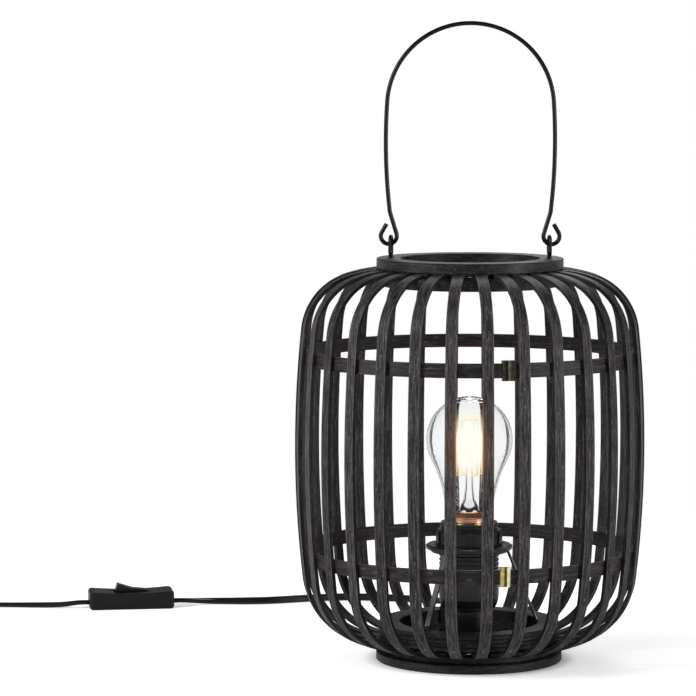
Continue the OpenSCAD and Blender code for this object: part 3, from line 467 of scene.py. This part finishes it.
# Black-stained bamboo
fibreLooks = {
    "slats": {
        "tone": (0.0060, 0.0047, 0.0050), "pale": (0.142, 0.125, 0.128), "edge": (0.23, 0.215, 0.21),
        "rough": 0.52, "depth": 0.7, "specular": 0.2, "coat": 0, "stretch": (900, 700, 55),
    },
    "rings": {
        "tone": (0.0030, 0.0027, 0.0028), "pale": (0.046, 0.042, 0.042), "edge": (0.14, 0.13, 0.125),
        "rough": 0.46, "depth": 0.9, "specular": 0.2, "coat": 0.08, "stretch": (70, 700, 700),
    },
    "hoops": {
        "tone": (0.0075, 0.0054, 0.0056), "pale": (0.072, 0.058, 0.056), "edge": (0.12, 0.11, 0.105),
        "rough": 0.5, "depth": 0.5, "specular": 0.2, "coat": 0, "stretch": (45, 400, 900),
    },
}
fibreCoatRough = 0.22


def fibreMaterial(name, group):
    look = fibreLooks[name]
    material, tree, shader = newMaterial(name)
    place = callGroup(tree, group, {})
    inputs = {"Vector": place["Vector"], "Stretch": look["stretch"], "Tone": (*look["tone"], 1),
              "Pale": (*look["pale"], 1), "Worn": (*look["edge"], 1), "Rough": look["rough"], "Depth": look["depth"]}
    for label in ("Random", "Edge", "Side"):
        if label in place:
            inputs[label] = place[label]
    setSurface(tree, shader, callGroup(tree, fibres, inputs), {
        "Specular IOR Level": look["specular"], "Coat Weight": look["coat"], "Coat Roughness": fibreCoatRough})
    addPaintedVeil(tree, shader, place)
    return material


# Moulded, drawn and lacquered pieces
finishLooks = {
    "wire": {"tone": (0.0022, 0.0022, 0.0023), "rough": 0.28, "scale": 700, "peel": 0.03, "dust": 0.006,
             "specular": 0.22},
    "stand": {"tone": (0.005, 0.005, 0.005), "rough": 0.24, "scale": 500, "peel": 0.1, "dust": 0.03, "coat": 0.2},
    "holder": {"tone": (0.0048, 0.0050, 0.0055), "rough": 0.24, "scale": 260, "peel": 0.08, "dust": 0.04,
               "specular": 0.55},
    "contacts": {"tone": (0.72, 0.50, 0.22), "rough": 0.25, "scale": 300, "peel": 0.15, "dust": 0.02, "metal": 1.0},
    "bulb_cap": {"tone": (0.80, 0.46, 0.28), "rough": 0.24, "scale": 300, "peel": 0.15, "dust": 0.02, "metal": 1.0},
    "cord": {"tone": (0.0030, 0.0030, 0.0033), "rough": 0.30, "scale": 900, "peel": 0.10, "dust": 0.01},
    "switch": {"tone": (0.0026, 0.0026, 0.0034), "rough": 0.33, "scale": 1400, "peel": 0.15, "dust": 0.012,
               "specular": 0.3},
    "rocker": {"tone": (0.0028, 0.0028, 0.0034), "rough": 0.28, "scale": 1200, "peel": 0.12, "dust": 0.012,
               "specular": 0.3},
    "tie": {"tone": (0.0060, 0.0060, 0.0062), "rough": 0.45, "scale": 1100, "peel": 0.3, "dust": 0.02,
            "specular": 0.3},
    "pins": {"tone": (0.75, 0.74, 0.72), "rough": 0.22, "scale": 300, "peel": 0.02, "dust": 0.0, "metal": 1.0},
    "brads": {"tone": (0.008, 0.0078, 0.0075), "rough": 0.5, "scale": 900, "peel": 0.1, "dust": 0.0},
    "pale_brads": {"tone": (0.42, 0.41, 0.39), "rough": 0.4, "scale": 900, "peel": 0.1, "dust": 0.0, "metal": 0.7},
}


def finishMaterial(name):
    look = finishLooks[name]
    material, tree, shader = newMaterial(name)
    made = callGroup(tree, finish, {"Tone": (*look["tone"], 1), "Rough": look["rough"], "Scale": look["scale"],
                                    "Peel": look["peel"], "Dust": look["dust"]})
    setSurface(tree, shader, made, {
        "Metallic": look.get("metal", 0.0), "Coat Weight": look.get("coat", 0.0),
        "Specular IOR Level": look.get("specular", 0.4)})
    return material


# Glass that is clear to shadows and to scattered light. Where it is lit, the glare of the
# filaments hides what lies behind.
glassLooks = {
    "bulb_glass": {"tint": (0.97, 0.975, 0.98), "bend": 1.27, "lit": True},
    "stem_glass": {"tint": (0.96, 0.965, 0.97), "bend": 1.07, "lit": False},
}
clearTint = (0.97, 0.98, 0.99)


def glassMaterial(name):
    look = glassLooks[name]
    material, tree, shader = newMaterial(name)
    surface = tree.nodes["Principled BSDF"].outputs[0]
    for label, value in {"Base Color": (*look["tint"], 1), "Roughness": 0, "Transmission Weight": 1,
                         "IOR": look["bend"]}.items():
        shader[label].default_value = value
    ray = addNode(tree, "ShaderNodeLightPath").outputs
    if look["lit"]:
        mask = callGroup(tree, glare, {"Reach": glowLook["reach"]})["Mask"]
        full = addRange(tree, mask, *glowLook["fade"], toHigh=glowLook["most"], interpolation_type="SMOOTHSTEP")
        colour = addMix(tree, full, glowLook["rim"], glowLook["core"])
        light = addNode(tree, "ShaderNodeEmission", {"Color": colour}).outputs[0]
        seen = addMath(tree, "MULTIPLY", full, ray["Is Camera Ray"])
        surface = addNode(tree, "ShaderNodeMixShader", {0: seen, 1: surface, 2: light}).outputs[0]
    clear = addNode(tree, "ShaderNodeBsdfTransparent", {"Color": (*clearTint, 1)}).outputs[0]
    passing = addMath(tree, "MAXIMUM", ray["Is Shadow Ray"], ray["Is Diffuse Ray"])
    mixed = addNode(tree, "ShaderNodeMixShader", {0: passing, 1: surface, 2: clear}).outputs[0]
    tree.links.new(mixed, tree.nodes["Material Output"].inputs["Surface"])
    return material


# Folded sheet metal: painted reflections, bright and dark bands across the fold, broken up by noise
clipLooks = {
    "dark_clip": {"dark": (0.008, 0.006, 0.005), "mid": (0.038, 0.034, 0.020), "paintedHighlight": (0.16, 0.15, 0.11),
                  "rough": 0.36},
    "brass_clip": {"dark": (0.10, 0.055, 0.018), "mid": (0.52, 0.45, 0.16), "paintedHighlight": (0.95, 0.92, 0.70),
                   "rough": 0.26},
}
clipFold = {"bands": 620.0, "breakup": 420.0, "share": 0.35, "mid": (0.36, 0.52), "paintedHighlight": (0.55, 0.68),
            "metal": 0.85, "depth": 0.6, "bump": 0.0006}


def clipMaterial(name):
    look = clipLooks[name]
    material, tree, shader = newMaterial(name)
    parts = addNode(tree, "ShaderNodeSeparateXYZ", {0: callGroup(tree, ringCoordinates, {})["Vector"]}).outputs
    inputs = {"W": addMath(tree, "MULTIPLY", parts[0], clipFold["bands"]), "Scale": 1.0, "Detail": 2}
    bands = addNode(tree, "ShaderNodeTexNoise", inputs, noise_dimensions="1D").outputs[0]
    bands = addSpread(tree, bands, addNoise(tree, objectPlace(tree), clipFold["breakup"], 4), 0.5, clipFold["share"])
    # The dark and bright bands are painted reflections laid into the metal's colour
    colour = addMix(tree, addRange(tree, bands, *clipFold["mid"]), look["dark"], look["mid"])
    colour = addMix(tree, addRange(tree, bands, *clipFold["paintedHighlight"]), colour, look["paintedHighlight"])
    normal = addBump(tree, bands, clipFold["depth"], clipFold["bump"])
    made = {"Colour": colour, "Roughness": look["rough"], "Normal": normal}
    setSurface(tree, shader, made, {"Metallic": clipFold["metal"]})
    return material


# The filaments light what they shine on, but no mirror image of them is drawn
filamentLook = {"tone": (0.9, 0.7, 0.3), "colour": (1.0, 0.80, 0.46), "strength": 2.6, "spread": 0.3, "grain": 900.0}


def filamentMaterial(name):
    look = filamentLook
    material, tree, shader = newMaterial(name)
    grain = addNoise(tree, objectPlace(tree), look["grain"], 2)
    low, high = (look["strength"] * (1 + side * look["spread"]) for side in (-1, 1))
    strength = addRange(tree, grain, toLow=low, toHigh=high)
    shader["Base Color"].default_value = (*look["tone"], 1)
    shader["Emission Color"].default_value = (*look["colour"], 1)
    mirrored = addNode(tree, "ShaderNodeLightPath").outputs["Is Glossy Ray"]
    shown = addMath(tree, "MULTIPLY", strength, addMath(tree, "SUBTRACT", 1.0, mirrored))
    tree.links.new(shown, shader["Emission Strength"])
    return material


materials = {
    "slats": fibreMaterial("slats", slatCoordinates),
    "rings": fibreMaterial("rings", ringCoordinates),
    "hoops": fibreMaterial("hoops", ringCoordinates),
    "filaments": filamentMaterial("filaments"),
}
for make, looks in ((glassMaterial, glassLooks), (clipMaterial, clipLooks), (finishMaterial, finishLooks)):
    materials.update({name: make(name) for name in looks})
print("materials made:", len(materials))


def paint(piece, material):
    piece.data.materials.clear()
    piece.data.materials.append(materials[material])


for row in frame["record"]["subparts"]:
    paint(nodes[row["node"]], row["material_slot"])
paint(nodes["bulb_stem"], "stem_glass")
for piece in (lampCord, plugCord):
    paint(piece, "cord")

# Softened edges, each with its width in millimetres and its segments
slatEdge = (0.5, 2)
softEdges = {
    "upper_hoop": (0.4, 2), "lower_hoop": (0.4, 2), "switch_base": (0.8, 3), "switch_cover": (0.8, 3),
    "switch_rocker": (0.5, 2), "plug_body": (0.9, 3),
}


def soften(name, width, segments):
    bevel = nodes[name].modifiers.new("softened", "BEVEL")
    bevel.width, bevel.segments, bevel.limit_method = width / 1000, segments, "ANGLE"
    bevel.angle_limit = math.radians(50)
    bevel.use_clamp_overlap = True


for name in nodes:
    if name.startswith("slat_"):
        soften(name, *slatEdge)
for name, edge in softEdges.items():
    soften(name, *edge)
print("edges softened")

# Brads, in metres and degrees: two dark ones where a slat crosses a hoop, a pale one low on each slat
bradLook = {
    "apart": 0.0017, "radius": 0.00046, "proud": 0.00012, "sunk": 0.0002, "wobble": 0.0004, "heights": (0.212, 0.0745),
    "paleRadius": 0.0005, "paleWobble": 0.0008, "paleAngle": 146, "sides": 10,
}


def bradDisc(points, faces, centre, outwards, across, radius):
    up = outwards.cross(across)
    sides, proud = bradLook["sides"], bradLook["proud"]
    faces += rowFaces(len(points), 3, sides)
    for grow, lift in ((1.0, -bradLook["sunk"]), (0.92, proud), (0.5, proud * 1.5)):
        for k in range(sides):
            angle = math.tau * k / sides
            points.append(centre + outwards * lift + grow * radius * (across * math.cos(angle) + up * math.sin(angle)))
    faces.append(tuple(range(len(points) - sides, len(points))))


# A point on one of the slats' arcs at an angle from straight up, and the direction out of it
def outerPoint(arc, angle, azimuth):
    flat = Vector(arc["centre"]) + arc["radius"] * Vector((math.sin(angle), math.cos(angle)))
    direction = Vector((math.cos(azimuth), math.sin(azimuth), 0))
    outwards = direction * math.sin(angle) + Vector((0, 0, math.cos(angle)))
    return direction * flat.x + Vector((0, 0, flat.y)), outwards


lowArc, sideArc, _ = slatShape["arcs"]
dark, darkFaces, pale, paleFaces = [], [], [], []
for i in range(slatShape["count"]):
    azimuth = math.radians(slatShape["first"] + 360 / slatShape["count"] * i)
    across = Vector((-math.sin(azimuth), math.cos(azimuth), 0))
    for height in bradLook["heights"]:
        angle = math.acos((height - sideArc["centre"][1]) / sideArc["radius"])
        centre, outwards = outerPoint(sideArc, angle, azimuth)
        for side in (-1, 1):
            wobble = bradLook["wobble"] * math.sin(i * 7.3 + side + height * 50)
            spot = centre + across * (side * bradLook["apart"] / 2 + wobble) + Vector((0, 0, 2 * wobble))
            bradDisc(dark, darkFaces, spot, outwards, across, bradLook["radius"])
    centre, outwards = outerPoint(lowArc, math.radians(bradLook["paleAngle"]), azimuth)
    spot = centre + across * bradLook["paleWobble"] * math.sin(i * 5.1)
    bradDisc(pale, paleFaces, spot, outwards, across, bradLook["paleRadius"])
brads = meshPiece("hoop_brads", dark, darkFaces)
paleBrads = meshPiece("slat_end_brads", pale, paleFaces)
paint(brads, "brads")
paint(paleBrads, "pale_brads")
print("brads set")

# The tie round the coil, in millimetres: a flat band from the table over the turns to the table.
# Its line holds the distance from the coil's middle, the height and the direction outwards.
tieShape = {"inner": 23.3, "outer": 42.7, "top": 8.15, "round": 3.2, "half": 1.6, "thick": 0.45, "foot": 0.02,
            "steps": 8, "section": ((-1, 0), (1, 0), (1, 1), (0, 1.25), (-1, 1))}

tieRound, tieLine = tieShape["round"], [(tieShape["inner"], tieShape["foot"], -1, 0)]
for x, turn in ((tieShape["inner"] + tieRound, 180), (tieShape["outer"] - tieRound, 90)):
    for k in range(tieShape["steps"] + 1):
        angle = math.radians(turn - 90 * k / tieShape["steps"])
        tieLine.append((x + tieRound * math.cos(angle), tieShape["top"] - tieRound + tieRound * math.sin(angle),
                        math.cos(angle), math.sin(angle)))
tieLine.append((tieShape["outer"], tieShape["foot"], 1, 0))
points = []
for r, z, outX, outZ in tieLine:
    for side, thick in tieShape["section"]:
        lift = thick * tieShape["thick"]
        points.append(((coilX + r + outX * lift) / 1000, (coilY + side * tieShape["half"]) / 1000,
                       (z + outZ * lift) / 1000))
count = len(tieShape["section"])
faces = rowFaces(0, len(tieLine), count)
faces.append(tuple(reversed(range(count))))
faces.append(tuple(range(len(points) - count, len(points))))
tie = meshPiece("coil_tie", points, faces, smooth=False)
paint(tie, "tie")
print("tie set")

# The lights in metres and watts, and the strengths at which the white world lights and is mirrored
lightLook = {
    "world": 0.20, "mirrored": 0.14, "aim": (0, 0, 0.15),
    "key": {"place": (-2.1, -1.15, 1.15), "size": 1.1, "power": 64},
    "fill": {"place": (2.1, -1.2, 0.55), "size": 1.0, "power": 38},
    "back": {"place": (0.3, 1.9, 1.5), "size": 1.2, "power": 14},
    "bulb": {"place": (0.0, 0.0, 0.150), "size": 0.024, "power": 0.012, "colour": (1.0, 0.62, 0.28)},
}


def addLight(name, lamp, place):
    light = bpy.data.objects.new(name, lamp)
    bpy.context.collection.objects.link(light)
    light.location = place
    return light


for name in ("key", "fill", "back"):
    look = lightLook[name]
    lamp = bpy.data.lights.new(name, "AREA")
    lamp.shape, lamp.size, lamp.energy = "DISK", look["size"], look["power"]
    light = addLight(name, lamp, look["place"])
    light.rotation_euler = (Vector(lightLook["aim"]) - light.location).to_track_quat("-Z", "Y").to_euler()
look = lightLook["bulb"]
lamp = bpy.data.lights.new("bulb", "POINT")
lamp.shadow_soft_size, lamp.energy, lamp.color = look["size"] / 2, look["power"], look["colour"]
addLight("bulb", lamp, look["place"])

# The floor glows for the camera outside the foot, and turns plain white further out
floorLook = {"half": 9, "tone": (0.97, 0.97, 0.97), "rough": 0.9, "specular": 0.1,
             "glow": 0.46, "glowFrom": (0.062, 0.075), "plainFrom": (0.35, 0.8)}

half = floorLook["half"]
floorMesh = bpy.data.meshes.new("floor")
floorMesh.from_pydata([(-half, -half, 0), (half, -half, 0), (half, half, 0), (-half, half, 0)], [], [(0, 1, 2, 3)])
floor = bpy.data.objects.new("floor", floorMesh)
bpy.context.collection.objects.link(floor)
material, tree, shader = newMaterial("floor")
for label, value in {"Base Color": (*floorLook["tone"], 1), "Roughness": floorLook["rough"],
                     "Specular IOR Level": floorLook["specular"], "Emission Color": (1, 1, 1, 1)}.items():
    shader[label].default_value = value
ray = addNode(tree, "ShaderNodeLightPath").outputs
away = addVector(tree, "LENGTH", objectPlace(tree), output="Value")
outside = addRange(tree, away, *floorLook["glowFrom"], toHigh=floorLook["glow"])
tree.links.new(addMath(tree, "MULTIPLY", ray["Is Camera Ray"], outside), shader["Emission Strength"])
fade = addRange(tree, away, *floorLook["plainFrom"], interpolation_type="SMOOTHSTEP")
plain = addNode(tree, "ShaderNodeEmission", {"Color": (1, 1, 1, 1), "Strength": 1.0}).outputs[0]
lit = tree.nodes["Principled BSDF"].outputs[0]
mixed = addNode(tree, "ShaderNodeMixShader", {0: fade, 1: lit, 2: plain}).outputs[0]
tree.links.new(mixed, tree.nodes["Material Output"].inputs["Surface"])
floorMesh.materials.append(material)

# The world is white where it is seen, also through glass; dimmer as a light and in reflections
world = bpy.data.worlds.new("studio")
scene.world = world
world.use_nodes = True
tree = world.node_tree
ray = addNode(tree, "ShaderNodeLightPath").outputs
seen = addMath(tree, "MAXIMUM", ray["Is Camera Ray"], ray["Is Transmission Ray"])
unseen = addRange(tree, ray["Is Glossy Ray"], toLow=lightLook["world"], toHigh=lightLook["mirrored"])
strength = addRange(tree, seen, toLow=unseen, toHigh=1.0)
tree.links.new(strength, tree.nodes["Background"].inputs["Strength"])
tree.nodes["Background"].inputs["Color"].default_value = (1, 1, 1, 1)
scene.view_settings.view_transform = "Standard"
scene.cycles.max_bounces = 16
scene.cycles.transmission_bounces = 14
scene.cycles.transparent_max_bounces = 16
scene.cycles.sample_clamp_indirect = 6
scene.cycles.use_denoising = True
print("stage set")
